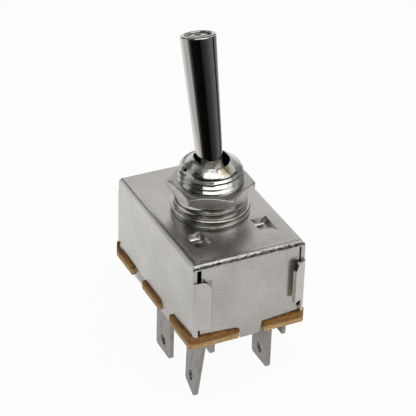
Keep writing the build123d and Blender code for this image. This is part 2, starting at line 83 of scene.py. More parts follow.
back = Vector((
    -math.sin(camera_azimuth) * math.cos(camera_elevation),
    -math.cos(camera_azimuth) * math.cos(camera_elevation),
    math.sin(camera_elevation),
))
level_right = (-back).cross(Vector((0, 0, 1))).normalized()
level_up = level_right.cross(-back)
right = level_right * math.cos(camera_roll) + level_up * math.sin(camera_roll)
up = level_up * math.cos(camera_roll) - level_right * math.sin(camera_roll)
turn = Matrix((right, up, back)).transposed().to_4x4()

bpy.ops.object.camera_add()
camera = bpy.context.object
camera.name = "photo_camera"
camera.matrix_world = Matrix.Translation(camera_aim + back * camera_distance) @ turn
camera.data.lens = focal_length
camera.data.clip_start = 10 * MM
bpy.context.scene.camera = camera
bpy.context.scene.view_settings.view_transform = "Standard"
print("camera", camera.name, "looks down by", round(math.degrees(camera_elevation)), "degrees")

# %% [markdown]
# Materials are drawn with nodes. The same small steps come back in every one of them, so each gets
# a name: the place of a spot on a surface, a distance, a number moved into another range, a sum.

# %% Steps for numbers in a material
def places(tree, kind="Object"):
    """Where each spot of a surface lies."""
    return tree.nodes.new("ShaderNodeTexCoord").outputs[kind]


def axes_of(tree, place):
    """The X, Y and Z of a place."""
    split = tree.nodes.new("ShaderNodeSeparateXYZ")
    tree.links.new(place, split.inputs[0])
    return split.outputs


def measured(tree, way, place, vector):
    """The distance of a place from a point, or its dot product with a direction."""
    measure = tree.nodes.new("ShaderNodeVectorMath")
    measure.operation = way
    measure.inputs[1].default_value = vector
    tree.links.new(place, measure.inputs[0])
    return measure.outputs["Value"]


def ranged(tree, source, from_low, from_high, to_low=0.0, to_high=1.0):
    """Moves a number from one range into another, and holds it between the new ends."""
    spread = tree.nodes.new("ShaderNodeMapRange")
    ends = {"From Min": from_low, "From Max": from_high, "To Min": to_low, "To Max": to_high}
    for name, value in ends.items():
        spread.inputs[name].default_value = value
    tree.links.new(source, spread.inputs["Value"])
    return spread.outputs[0]


def combined(tree, way, first, second):
    """One number from two, each a number or the output of another node."""
    result = tree.nodes.new("ShaderNodeMath")
    result.operation = way
    for socket, value in zip(result.inputs, (first, second)):
        if isinstance(value, (int, float)):
            socket.default_value = value
        else:
            tree.links.new(value, socket)
    return result.outputs[0]


def shown_by(tree, factor, first, second):
    """Shows the first shader where the factor is 0, and the second where it is 1."""
    blend = tree.nodes.new("ShaderNodeMixShader")
    for socket, source in zip(blend.inputs, (factor, first, second)):
        tree.links.new(source, socket)
    return blend.outputs[0]


# %% [markdown]
# A plain pale floor carries the shadow. Camera rays see it nearly white by its own colour, and not
# by more light on the switch. Mirrored in the metal, its glow is darker just in front of the
# switch:
# a painted shadow of the switch, seen only in reflections.

# %% Floor
floor_level = cad_box[0][2] - 0.2 * MM
floor_size = 4.0
painted_shadow_centre = (-4 * MM, -26 * MM, 0)
dark_until = 10 * MM
pale_from = 90 * MM
floor_white = 0.95
bpy.ops.mesh.primitive_plane_add(size=floor_size, location=(0, 0, floor_level))
floor = bpy.context.object
floor.name = "floor"
paper = bpy.data.materials.new("floor_paper")
paper.use_nodes = True
tree = paper.node_tree
shade = tree.nodes["Principled BSDF"]
shade.inputs["Base Color"].default_value = (0.9, 0.9, 0.9, 1)
shade.inputs["Roughness"].default_value = 0.8
glow = tree.nodes.new("ShaderNodeEmission")
rays = tree.nodes.new("ShaderNodeLightPath").outputs
# painted shadow: in reflections the floor glows less close to the switch
spot_distance = measured(tree, "DISTANCE", places(tree), painted_shadow_centre)
glow_with_painted_shadow = ranged(tree, spot_distance, dark_until, pale_from, 0.66, floor_white)
brightness = combined(tree, "MAXIMUM", glow_with_painted_shadow, rays["Is Camera Ray"])
tree.links.new(brightness, glow.inputs["Strength"])
looked_at = combined(tree, "MAXIMUM", rays["Is Camera Ray"], rays["Is Glossy Ray"])
looked_at = combined(tree, "MAXIMUM", looked_at, rays["Is Transmission Ray"])
share = combined(tree, "MULTIPLY", looked_at, floor_white)
surface = shown_by(tree, share, shade.outputs[0], glow.outputs[0])
tree.links.new(surface, tree.nodes["Material Output"].inputs["Surface"])
floor.data.materials.append(paper)
print("floor at", round(floor_level / MM, 1), "mm")

# %% [markdown]
# A soft even light fills the room. Past the switch the camera sees plain white. Metal mirrors a
# room that is bright behind the switch, and darker towards the camera and the ceiling.

# %% World
world = bpy.data.worlds.new("studio")
world.use_nodes = True
bpy.context.scene.world = world
tree = world.node_tree
soft_light = tree.nodes["Background"]
soft_light.inputs["Color"].default_value = (1, 1, 1, 1)
soft_light.inputs["Strength"].default_value = 0.45
white_room = tree.nodes.new("ShaderNodeBackground")
white_room.inputs["Color"].default_value = (1, 1, 1, 1)
white_room.inputs["Strength"].default_value = 1.0
mirrored_room = tree.nodes.new("ShaderNodeBackground")
room_back = (0.44, 0.86, 0.25)
direction = places(tree, "Generated")
towards_back = measured(tree, "DOT_PRODUCT", direction, room_back)
back_light = ranged(tree, towards_back, -0.25, 0.65, 0.14, 1.0)
ceiling = ranged(tree, axes_of(tree, direction)["Z"], 0.62, 0.82, 1.0, 0.40)
room_light = combined(tree, "MULTIPLY", back_light, ceiling)
tree.links.new(room_light, mirrored_room.inputs["Strength"])
rays = tree.nodes.new("ShaderNodeLightPath").outputs
lit = shown_by(tree, rays["Is Glossy Ray"], soft_light.outputs[0], mirrored_room.outputs[0])
seen = shown_by(tree, rays["Is Camera Ray"], lit, white_room.outputs[0])
tree.links.new(seen, tree.nodes["World Output"].inputs["Surface"])
print("world", world.name, "with", len(tree.nodes), "nodes")

# %% [markdown]
# Every finish is built from the same few steps. A plain surface gets a colour, a roughness and a
# metal value, and then fine patterns in millimetres vary them, because no real surface is even.
# A picture could be laid over each piece instead, but a pattern of nodes needs no file, has no seam
# and stays sharp from close by.

# %% Steps for the finishes
def surface_of(finish):
    return finish.node_tree.nodes["Principled BSDF"]


def new_finish(name, colour, roughness, metal):
    finish = bpy.data.materials.new(name)
    finish.use_nodes = True
    surface = surface_of(finish)
    surface.inputs["Base Color"].default_value = (*colour, 1)
    surface.inputs["Roughness"].default_value = roughness
    surface.inputs["Metallic"].default_value = metal
    return finish


def pattern(finish, waves_per_mm, detail=4.0, distortion=0.0):
    """Noise with so many waves for each millimetre: one number, or one each for X, Y and Z."""
    if isinstance(waves_per_mm, float):
        waves_per_mm = (waves_per_mm, waves_per_mm, waves_per_mm)
    tree = finish.node_tree
    stretch = tree.nodes.new("ShaderNodeMapping")
    stretch.inputs["Scale"].default_value = [waves / MM for waves in waves_per_mm]
    texture = tree.nodes.new("ShaderNodeTexNoise")
    texture.inputs["Scale"].default_value = 1.0
    texture.inputs["Detail"].default_value = detail
    texture.inputs["Distortion"].default_value = distortion
    tree.links.new(places(tree), stretch.inputs["Vector"])
    tree.links.new(stretch.outputs["Vector"], texture.inputs["Vector"])
    return texture.outputs[0]


def steps(finish, source, stops):
    """Turns a pattern into colours or greys at the given positions."""
    ramp = finish.node_tree.nodes.new("ShaderNodeValToRGB")
    finish.node_tree.links.new(source, ramp.inputs[0])
    band = ramp.color_ramp
    while len(band.elements) < len(stops):
        band.elements.new(0.5)
    for element, (position, colour) in zip(band.elements, stops):
        element.position = position
        grey = (colour, colour, colour)
        element.color = (*(colour if isinstance(colour, tuple) else grey), 1)
    return ramp.outputs["Color"]


def mixed(finish, factor, first, second, way="MIX"):
    """Mixes two colours, each a colour or the output of another step."""
    mix = finish.node_tree.nodes.new("ShaderNodeMix")
    mix.data_type = "RGBA"
    mix.blend_type = way
    links = finish.node_tree.links
    for socket, value in (("Factor", factor), ("A", first), ("B", second)):
        target = [s for s in mix.inputs if s.name == socket and s.enabled][0]
        if isinstance(value, (int, float)):
            target.default_value = value
        elif isinstance(value, tuple):
            target.default_value = (*value, 1)
        else:
            links.new(value, target)
    return [s for s in mix.outputs if s.enabled][0]


def tint(finish, source):
    finish.node_tree.links.new(source, surface_of(finish).inputs["Base Color"])


def roughen(finish, source, low, high):
    """Lets a pattern move the roughness between two values."""
    spread = ranged(finish.node_tree, source, 0.0, 1.0, low, high)
    finish.node_tree.links.new(spread, surface_of(finish).inputs["Roughness"])


def emboss(finish, source, height_mm, strength=1.0):
    """Raises the surface with a pattern, on top of what was raised before."""
    bump = finish.node_tree.nodes.new("ShaderNodeBump")
    bump.inputs["Strength"].default_value = strength
    bump.inputs["Distance"].default_value = height_mm * MM
    links = finish.node_tree.links
    normal = surface_of(finish).inputs["Normal"]
    if normal.is_linked:
        links.new(normal.links[0].from_socket, bump.inputs["Normal"])
    links.new(source, bump.inputs["Height"])
    links.new(bump.outputs[0], normal)


def report(finish):
    print("finish", finish.name, "with", len(finish.node_tree.nodes), "nodes")


# %% [markdown]
# The frame is plated steel. The rolled sheet has a grain that runs along the switch, soft clouds
# where the plating is thinner, and fine specks. The grain is noise that is stretched along Y, and
# three embossed patterns of different size keep the walls from mirroring like glass.

# %% Plated steel
plated_steel = new_finish("plated_steel", (0.60, 0.58, 0.55), 0.34, 1.0)
clouds = pattern(plated_steel, (0.12, 0.09, 0.12), detail=3.0, distortion=0.4)
specks = pattern(plated_steel, 2.6, detail=6.0)
thin_plate = (0.53, 0.51, 0.475)
full_plate = (0.64, 0.62, 0.59)
cloud_colour = steps(plated_steel, clouds, [(0.30, thin_plate), (0.70, full_plate)])
speck_colour = steps(plated_steel, specks, [(0.28, 0.80), (0.42, 1.0)])
sheet_colour = mixed(plated_steel, 1.0, cloud_colour, speck_colour, "MULTIPLY")
roughen(plated_steel, pattern(plated_steel, (0.5, 0.2, 0.5), detail=5.0), 0.17, 0.30)
emboss(plated_steel, pattern(plated_steel, (3.5, 0.25, 3.5), detail=4.0), 0.004)
emboss(plated_steel, pattern(plated_steel, 4.0, detail=2.0), 0.024)
emboss(plated_steel, pattern(plated_steel, 0.35, detail=2.0), 0.03, 0.5)
report(plated_steel)

# %% [markdown]
# Some marks belong to one place on the frame. A mask is 1 inside such a place and 0 outside it, and
# fades in between. The front flaps are painted lighter, a painted highlight, and painted shadow
# lies in the gap beside and behind the left one. The floors of the stops carry painted shade, and
# the peaks behind them a painted highlight. Along the front bend the drawing tool left small dents.
# Such marks could be painted by hand, but a mask in millimetres can be read, and it stays in place
# when the finish changes.

# %% Painted light and shade, and dents, on the frame
steel_axes = axes_of(plated_steel.node_tree, places(plated_steel.node_tree))
frame_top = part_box("steel_frame")[1][2] / MM
front_wall = -16.8


def within(*limits_mm):
    """1 inside all limits, 0 outside: each is an axis, where it starts and where it is full."""
    inside = (1.0, 1.0, 1.0)
    for axis, starts, full in limits_mm:
        fade = ranged(plated_steel.node_tree, steel_axes[axis], starts * MM, full * MM)
        inside = mixed(plated_steel, 1.0, fade, inside, "MULTIPLY")
    return inside


beside_stops = (("X", -9.4, -9.1), ("X", 9.4, 9.1))
marks = {
    # painted highlight: the front flaps are painted lighter, as if they catch more light
    "painted highlight on the flaps": (0.5, (0.70, 0.67, 0.62), [
        ("Y", front_wall - 0.45, front_wall - 0.6),
    ]),
    # painted shadow in the gap beside and behind the left flap
    "painted shadow beside the left flap": (0.6, (0.16, 0.15, 0.13), [
        ("X", -7.1, -7.8), ("X", -10.2, -9.6),
        ("Y", front_wall + 0.8, front_wall + 0.4), ("Y", front_wall - 0.35, front_wall - 0.2),
        ("Z", -15.6, -15.2), ("Z", -5.0, -5.4),
    ]),
    # painted shade: the stops are darker the deeper they go
    "painted shade on the floors of the stops": (0.65, (0.07, 0.065, 0.055), [
        ("Z", frame_top - 0.35, frame_top - 1.0), ("Y", -12.4, -12.1), ("Y", -6.9, -7.3),
        *beside_stops,
    ]),
    # painted highlight on the peaks behind the stops
    "painted highlight on the peaks behind the stops": (1.0, (0.93, 0.92, 0.89), [
        ("Z", frame_top - 0.05, frame_top - 0.15), ("Y", -7.7, -7.3), ("Y", -6.2, -6.4),
        *beside_stops,
    ]),
}
for mark, (share, colour, limits) in marks.items():
    amount = mixed(plated_steel, 1.0, within(*limits), (share, share, share), "MULTIPLY")
    sheet_colour = mixed(plated_steel, amount, sheet_colour, colour)
    print("mark", mark)
tint(plated_steel, sheet_colour)
at_bend = within(
    ("Y", front_wall + 1.3, front_wall + 0.6), ("Z", frame_top - 1.5, frame_top - 1.0),
)
drawn_marks = pattern(plated_steel, 2.2, detail=3.0)
emboss(plated_steel, mixed(plated_steel, 1.0, at_bend, drawn_marks, "MULTIPLY"), 0.16)
report(plated_steel)

# %% [markdown]
# The base is sheared from paper laminate. Its layers lie flat, so on the sheared edge they show as
# fibres drawn along the edge. The edge is darker above and paler along its lowest part. Fibres are
# far too fine to model, so noise that is pressed flat along Z draws them.

# %% Phenolic laminate
phenolic = new_finish("phenolic", (0.24, 0.13, 0.05), 0.62, 0.0)
surface_of(phenolic).inputs["Specular IOR Level"].default_value = 0.25
layers = pattern(phenolic, (0.28, 0.28, 2.4), detail=6.0, distortion=0.6)
fibres = pattern(phenolic, (1.6, 1.6, 7.0), detail=5.0)
layer_colour = steps(phenolic, layers, [
    (0.28, (0.10, 0.040, 0.010)), (0.50, (0.27, 0.112, 0.022)), (0.72, (0.46, 0.22, 0.052)),
])
fibre_colour = steps(phenolic, fibres, [
    (0.35, (0.12, 0.055, 0.015)), (0.65, (0.46, 0.26, 0.085)),
])
amber = mixed(phenolic, 0.45, layer_colour, fibre_colour)
tan_colour = steps(phenolic, fibres, [(0.30, (0.40, 0.22, 0.07)), (0.70, (0.72, 0.52, 0.26))])
base_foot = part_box("phenolic_base")[0][2]
# the edge is paler along its lowest part and darker above it
pale_band_top = base_foot + 0.75 * MM
dark_band_foot = base_foot + 1.25 * MM
height = axes_of(phenolic.node_tree, places(phenolic.node_tree))["Z"]
upper_share = ranged(phenolic.node_tree, height, pale_band_top, dark_band_foot)
tint(phenolic, mixed(phenolic, upper_share, tan_colour, amber))
roughen(phenolic, fibres, 0.5, 0.8)
emboss(phenolic, layers, 0.10)
emboss(phenolic, fibres, 0.05)
report(phenolic)

# %% [markdown]
# The bushing, washers and nut are plated with nickel. Tool marks run round the turned pieces. They
# are noise along one line only: the distance from the bushing's axis, which makes rings.

# %% Nickel
def turned_marks(finish, per_mm):
    """Rings round the bushing's axis, from the distance to that axis."""
    tree = finish.node_tree
    flat = tree.nodes.new("ShaderNodeVectorMath")
    flat.operation = "MULTIPLY"
    flat.inputs[1].default_value = (1, 1, 0)
    rings = tree.nodes.new("ShaderNodeTexNoise")
    rings.noise_dimensions = "1D"
    rings.inputs["Scale"].default_value = per_mm / MM
    rings.inputs["Detail"].default_value = 4.0
    tree.links.new(places(tree), flat.inputs[0])
    tree.links.new(measured(tree, "DISTANCE", flat.outputs[0], (0, 0, 0)), rings.inputs["W"])
    return rings.outputs[0]


def nickel(name, colour, low, high):
    finish = new_finish(name, colour, low, 1.0)
    dull = tuple(0.72 * part for part in colour)
    stains = pattern(finish, 0.6, detail=5.0, distortion=0.5)
    tint(finish, steps(finish, stains, [(0.32, dull), (0.55, colour)]))
    roughen(finish, stains, low, high)
    emboss(finish, turned_marks(finish, 9.0), 0.004, 0.6)
    emboss(finish, pattern(finish, (0.9, 0.9, 0.12), detail=3.0), 0.07, 0.8)
    report(finish)
    return finish


nickel_bushing = nickel("nickel_bushing", (0.66, 0.65, 0.61), 0.06, 0.22)
nickel_washer = nickel("nickel_washer", (0.66, 0.645, 0.60), 0.04, 0.15)
nickel_nut = nickel("nickel_nut", (0.56, 0.54, 0.51), 0.22, 0.40)

# %% [markdown]
# The lever has rubbed the nickel away at the front end of its slot, down to the yellow brass. The
# patch is where two things meet: the distance from one point, and noise that makes it ragged.

# %% Brass where the nickel has rubbed off
bushing_low, bushing_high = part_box("bushing")
rub_centre = (0.7 * MM, -4.2 * MM, bushing_high[2] - 0.4 * MM)
rubbed_until = 0.6 * MM
plated_from = 1.9 * MM
brass_colour = (0.44, 0.36, 0.19)
tree = nickel_bushing.node_tree
rub_distance = measured(tree, "DISTANCE", places(tree), rub_centre)
rub_edge = ranged(tree, rub_distance, rubbed_until, plated_from, 1.0, 0.0)
rub_noise = pattern(nickel_bushing, 1.1, detail=6.0, distortion=1.0)
patches = steps(nickel_bushing, rub_noise, [(0.40, 0.0), (0.52, 1.0)])
worn = mixed(nickel_bushing, 1.0, rub_edge, patches, "MULTIPLY")
plated = surface_of(nickel_bushing).inputs["Base Color"].links[0].from_socket
tint(nickel_bushing, mixed(nickel_bushing, worn, plated, brass_colour))
report(nickel_bushing)

# %% [markdown]
# The lever is bright chrome. Chrome is nearly a mirror, so what it shows is the room: the studio
# cards further down give it its dark middle. Only faint smears and dust belong to the chrome.

# %% Chrome
chrome_colour = (0.64, 0.61, 0.58)
chrome_lever = new_finish("chrome_lever", chrome_colour, 0.06, 1.0)
smears = pattern(chrome_lever, (0.5, 0.5, 0.16), detail=5.0, distortion=0.8)
roughen(chrome_lever, smears, 0.03, 0.12)
dust_noise = pattern(chrome_lever, 2.2, detail=3.0)
dust = steps(chrome_lever, dust_noise, [(0.70, 0.0), (0.78, 1.0)])
tint(chrome_lever, mixed(chrome_lever, dust, chrome_colour, (0.85, 0.84, 0.81)))
emboss(chrome_lever, pattern(chrome_lever, (5.0, 5.0, 0.5), detail=3.0), 0.002, 0.5)
report(chrome_lever)

# %% [markdown]
# The rod inside the sleeve is bare turned steel, which shows at the peened tip. It is rougher than
# chrome and a little stained, so its reflections are broken up.

# %% Steel of the lever's rod
bright_steel = (0.66, 0.65, 0.62)
dark_steel = (0.40, 0.39, 0.36)
lever_steel = new_finish("lever_steel", (0.60, 0.59, 0.56), 0.2, 1.0)
roughen(lever_steel, pattern(lever_steel, 1.2, detail=5.0), 0.12, 0.34)
steel_stains = pattern(lever_steel, 0.8)
tint(lever_steel, steps(lever_steel, steel_stains, [(0.3, dark_steel), (0.6, bright_steel)]))
emboss(lever_steel, pattern(lever_steel, 1.5, detail=2.0), 0.03, 0.5)
report(lever_steel)

# %% [markdown]
# The blades are tinned brass. Tin is soft, so it is dull and full of small rubs.

# %% Tinned brass
tinned_brass = new_finish("tinned_brass", (0.50, 0.48, 0.46), 0.38, 1.0)
rubs = pattern(tinned_brass, (0.5, 1.0, 0.6), detail=6.0, distortion=0.7)
rubbed_tin = (0.28, 0.26, 0.24)
fresh_tin = (0.42, 0.40, 0.375)
tint(tinned_brass, steps(tinned_brass, rubs, [(0.30, rubbed_tin), (0.55, fresh_tin)]))
roughen(tinned_brass, rubs, 0.30, 0.50)
emboss(tinned_brass, pattern(tinned_brass, (2.5, 2.5, 0.6), detail=4.0), 0.008)
report(tinned_brass)

# %% [markdown]
# The works are hidden in the photo, but each still gets the finish that such a piece has.

# %% Finishes for the works
def plain_finish(name, colour, roughness, metal, waves_per_mm, height_mm):
    finish = new_finish(name, colour, roughness, metal)
    spots = pattern(finish, waves_per_mm)
    darker = tuple(0.8 * part for part in colour)
    tint(finish, steps(finish, spots, [(0.3, darker), (0.7, colour)]))
    roughen(finish, spots, 0.8 * roughness, 1.2 * roughness)
    emboss(finish, spots, height_mm)
    report(finish)
    return finish


acetal = plain_finish("acetal", (0.80, 0.79, 0.72), 0.35, 0.0, 0.6, 0.01)
spring_steel = plain_finish("spring_steel", (0.42, 0.42, 0.43), 0.30, 1.0, 3.0, 0.005)
nylon = plain_finish("nylon", (0.78, 0.75, 0.66), 0.45, 0.0, 0.5, 0.02)
liner_fibre = plain_finish("liner_fibre", (0.035, 0.035, 0.038), 0.75, 0.0, 1.5, 0.02)
copper_grain = (0.8, 2.0, 0.8)
contact_copper = plain_finish(
    "contact_copper", (0.62, 0.34, 0.20), 0.30, 1.0, copper_grain, 0.008)
contact_silver = plain_finish("contact_silver", (0.72, 0.71, 0.67), 0.26, 1.0, 1.5, 0.01)

# %% [markdown]
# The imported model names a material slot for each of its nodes. Each node gets the finish of its
# slot, so that the switch also looks right where it is taken apart. The meshes stay as they are.

# %% Every node gets its finish
finishes = {
    "plated_steel": plated_steel,
    "phenolic": phenolic,
    "nickel_bushing": nickel_bushing,
    "nickel_washer": nickel_washer,
    "nickel_nut": nickel_nut,
    "chrome_lever": chrome_lever,
    "lever_steel": lever_steel,
    "tinned_brass": tinned_brass,
    "acetal": acetal,
    "spring_steel": spring_steel,
    "nylon": nylon,
    "liner_fibre": liner_fibre,
    "contact_copper": contact_copper,
    "contact_silver": contact_silver,
}
slot_of = {part["node"]: part["material_slot"] for part in frame["record"]["subparts"]}
for name, node in frame["nodes"].items():
    node.data.materials.clear()
    node.data.materials.append(finishes[slot_of[name]])
print("nodes with a finish", len(slot_of))

# %% [markdown]
# Real sheet metal has no knife-sharp edge. The pieces whose edges catch the light are rebuilt from
# a copy of their solid: flat areas are merged into single faces, and every sharp edge is rounded.
# They could be drawn again from nothing, but a copy keeps the true shape and place.

# %% Steps for the pieces
body_of_node = {
    node_name: body_name
    for body_name, node_names in frame["record"]["behaviour"]["bodies"].items()
    for node_name in node_names
}
doubles_within = 0.002 * MM


def pick(piece):
    bpy.ops.object.select_all(action="DESELECT")
    piece.select_set(True)
    bpy.context.view_layer.objects.active = piece


def apply_modifier(piece, kind, **settings):
    pick(piece)
    modifier = piece.modifiers.new(kind.lower(), kind)
    for setting, value in settings.items():
        setattr(modifier, setting, value)
    bpy.ops.object.modifier_apply(modifier=modifier.name)


def select_parts(piece, kind, chosen):
    """In edit mode, selects the points or faces of a piece that are chosen."""
    bpy.ops.object.mode_set(mode="EDIT")
    bpy.ops.mesh.select_mode(type=kind)
    bpy.ops.mesh.select_all(action="DESELECT")
    bpy.ops.object.mode_set(mode="OBJECT")
    parts = piece.data.vertices if kind == "VERT" else piece.data.polygons
    for part in parts:
        part.select = chosen(part)
    words = "points" if kind == "VERT" else "faces"
    print(piece.name, "has", sum(part.select for part in parts), words, "selected")
    bpy.ops.object.mode_set(mode="EDIT")


def close_up(piece, sharp_degrees=40.0):
    """Merges doubles, turns every face outwards and shades the curved faces smooth."""
    pick(piece)
    bpy.ops.object.mode_set(mode="EDIT")
    bpy.ops.mesh.select_all(action="SELECT")
    bpy.ops.mesh.remove_doubles(threshold=doubles_within)
    bpy.ops.mesh.normals_make_consistent(inside=False)
    bpy.ops.object.mode_set(mode="OBJECT")
    bpy.ops.object.shade_smooth_by_angle(angle=math.radians(sharp_degrees))


def stand_for(piece, node_name):
    """The piece moves with the node's body, wears its finish and is shown in its place."""
    slot_name = slot_of[node_name]
    piece.data.materials.clear()
    piece.data.materials.append(finishes[slot_name])
    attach(piece, body_of_node[node_name])
    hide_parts(node_name)
    print(piece.name, "has", len(piece.data.polygons), "faces")


def softened(node_name, name, edge_mm, rounds=2, shaping=None):
    """A copy of a node's solid with rounded edges, and reshaped first where that is asked."""
    piece = bpy.data.objects.new(name, frame["nodes"][node_name].data.copy())
    bpy.context.scene.collection.objects.link(piece)
    pick(piece)
    bpy.ops.object.mode_set(mode="EDIT")
    bpy.ops.mesh.select_all(action="SELECT")
    bpy.ops.mesh.remove_doubles(threshold=doubles_within)
    bpy.ops.mesh.customdata_custom_splitnormals_clear()
    bpy.ops.mesh.dissolve_limited(angle_limit=math.radians(0.3))
    bpy.ops.object.mode_set(mode="OBJECT")
    if shaping:
        shaping(piece)
    apply_modifier(
        piece, "BEVEL", width=edge_mm * MM, segments=rounds, limit_method="ANGLE",
        angle_limit=math.radians(30), use_clamp_overlap=True, miter_outer="MITER_ARC",
    )
    close_up(piece)
    apply_modifier(piece, "WEIGHTED_NORMAL", weight=100, keep_sharp=True)
    return piece


# %% [markdown]
# The punch that pressed the two stops into the top left a small pyramid on the back wall of each.
# One of its sides catches the light. The wall is a single face, so poking it raises its middle
# into a peak, which is quicker and cleaner than setting a cone on it.

# %% Stops
stop_middle = 6.6 * MM
stop_back = -6.6 * MM
stop_width = 3.2 * MM
stop_depth = 1.3 * MM
pyramid_height = 0.52 * MM


def is_back_wall(face):
    """True for the upright face at the back of a stop, where it looks forwards."""
    place = face.center
    below_top = frame_top * MM - place.z
    beside = abs(abs(place.x) - stop_middle) < stop_width / 4
    behind = stop_back - stop_depth < place.y < stop_back
    return face.normal.y < -0.7 and beside and behind and stop_depth / 4 < below_top < stop_depth


def raise_pyramids(piece):
    select_parts(piece, "FACE", is_back_wall)
    bpy.ops.mesh.poke(offset=pyramid_height)
    bpy.ops.object.mode_set(mode="OBJECT")


# %% [markdown]
# The shears rolled the rim of each flap over, so the rim is rounder than the other edges. The free
# end of the front left flap springs off the wall, and its upper rim curls outwards. Both are turns
# of the points beyond a line, as fingers or pliers would bend the sheet.

# %% Flaps
flap_face = 17.7 * MM
flap_rim = 0.38 * MM
flap_right_edge = -7.5 * MM
flap_back = -16.85 * MM
flap_foot = -15.5 * MM
flap_top = -4.5 * MM
bend_middle = (-10.4 * MM, -17.3 * MM, 0)
bends_from = -9.9 * MM
curl_middle = (0, -17.3 * MM, -6.2 * MM)
curls_from = -6.2 * MM


def roll_flap_rims(piece):
    bpy.ops.object.mode_set(mode="EDIT")
    bpy.ops.mesh.select_mode(type="EDGE")
    bpy.ops.mesh.select_all(action="DESELECT")
    bpy.ops.mesh.edges_select_sharp(sharpness=math.radians(40))
    bpy.ops.object.mode_set(mode="OBJECT")
    points = piece.data.vertices
    for edge in piece.data.edges:
        ends = [points[index].co for index in edge.vertices]
        outside = all(abs(abs(end.y) - flap_face) < 0.02 * MM for end in ends)
        edge.select = edge.select and outside
    print("edges of the flaps' rims:", sum(edge.select for edge in piece.data.edges))
    bpy.ops.object.mode_set(mode="EDIT")
    bpy.ops.mesh.bevel(offset=flap_rim, segments=4, affect="EDGES", clamp_overlap=True)
    bpy.ops.object.mode_set(mode="OBJECT")


def on_left_flap(place):
    in_width = place.x < flap_right_edge and place.y < flap_back
    return in_width and flap_foot < place.z < flap_top


def in_free_end(vertex):
    return on_left_flap(vertex.co) and vertex.co.x > bends_from


def in_upper_rim(vertex):
    return on_left_flap(vertex.co) and vertex.co.z > curls_from


def lift_free_end(piece):
    """Bends the front left flap off the wall a little, and curls its upper rim outwards."""
    for chosen, middle, degrees, axis in (
        (in_free_end, bend_middle, 8.0, "Z"),
        (in_upper_rim, curl_middle, 14.0, "X"),
    ):
        select_parts(piece, "VERT", chosen)
        bpy.ops.transform.rotate(
            value=math.radians(degrees), orient_axis=axis, center_override=middle)
        bpy.ops.object.mode_set(mode="OBJECT")


# %% [markdown]
# Below that flap the corner stays open for a short way, where the two walls don't meet. A small
# block of the slit's size is taken away from the sheet with a boolean modifier.

# %% Slit in the corner
slit_place = (-10.025 * MM, -16.9 * MM, -16.26 * MM)
slit_size = (0.85 * MM, 2.2 * MM, 2.5 * MM)


def cut(piece, cutter):
    apply_modifier(piece, "BOOLEAN", operation="DIFFERENCE", solver="EXACT", object=cutter)
    bpy.data.objects.remove(cutter, do_unlink=True)


def fresh(name):
    """Names the object that was just added and sets its place into its mesh."""
    piece = bpy.context.object
    piece.name = name
    bpy.ops.object.transform_apply(location=True, rotation=True, scale=True)
    return piece


def cut_corner_slit(piece):
    bpy.ops.object.select_all(action="DESELECT")
    bpy.ops.mesh.primitive_cube_add(size=1, location=slit_place, scale=slit_size)
    cut(piece, fresh("slit_cutter"))


def shape_frame(piece):
    cut_corner_slit(piece)
    raise_pyramids(piece)
    roll_flap_rims(piece)
    lift_free_end(piece)


# %% [markdown]
# How round an edge is tells how the piece was made. Stamped blades are nearly sharp, the sheared
# base and the nut are a little softer, and washers that were tumbled are the roundest.

# %% Frame, base, blades, nut and washers
folded_frame = softened("steel_frame", "folded_frame", 0.14, rounds=3, shaping=shape_frame)
stand_for(folded_frame, "steel_frame")
stand_for(softened("phenolic_base", "base_plate", 0.12), "phenolic_base")
for place_name in ("front_left", "middle_left", "centre", "front_right"):
    terminal = place_name + "_terminal"
    stand_for(softened(terminal, place_name + "_blade", 0.06), terminal)
stand_for(softened("hex_nut", "nut", 0.12), "hex_nut")
stand_for(softened("flat_washer", "plain_washer", 0.22, rounds=3), "flat_washer")
stand_for(softened("lock_washer", "split_washer", 0.20, rounds=3), "lock_washer")

# %% [markdown]
# The lever, its rod and the bushing are turned pieces. Each starts as one ring of points, which is
# drawn upwards ring by ring, as a lathe's outline is followed from one end to the other. A line
# could be spun round instead, but then its ends on the axis have to be closed afterwards.

# %% Steps for turned pieces
def turned(name, outline_mm, closed=False, sides=96):
    """Follows an outline of (radius, height) points, in millimetres, round the Z axis."""
    radius, height = outline_mm[0]
    bpy.ops.object.select_all(action="DESELECT")
    bpy.ops.mesh.primitive_circle_add(
        vertices=sides, radius=radius * MM, location=(0, 0, height * MM))
    piece = fresh(name)
    bpy.ops.object.mode_set(mode="EDIT")
    bpy.ops.mesh.select_all(action="SELECT")
    if not closed:
        bpy.ops.mesh.edge_face_add()
        bpy.ops.mesh.select_mode(type="EDGE")
        bpy.ops.mesh.select_all(action="SELECT")
    following = outline_mm[1:] + (outline_mm[:1] if closed else [])
    for next_radius, next_height in following:
        rise = (next_height - height) * MM
        scale = next_radius / radius
        middle = (0, 0, next_height * MM)
        bpy.ops.mesh.extrude_edges_move(TRANSFORM_OT_translate={"value": (0, 0, rise)})
        bpy.ops.transform.resize(value=(scale, scale, 1), center_override=middle)
        radius, height = next_radius, next_height
    if not closed:
        bpy.ops.mesh.edge_face_add()
    bpy.ops.object.mode_set(mode="OBJECT")
    return piece


def arc(centre, radius, start, end, count):
    """Points of an arc in the outline's plane, its angles in degrees from the radius axis."""
    turns = [math.radians(start + (end - start) * step / count) for step in range(count + 1)]
    return [(centre[0] + radius * math.cos(t), centre[1] + radius * math.sin(t)) for t in turns]


joints = frame["record"]["behaviour"]["joints"]
lever_joint = next(joint for joint in joints if joint["name"] == "lever_throw")
pivot = Vector(lever_joint["pos_m"])
lever_lean = math.radians(lever_joint["range_deg"][1]) / 2
print("the lever leans back by", round(math.degrees(lever_lean), 1), "degrees")


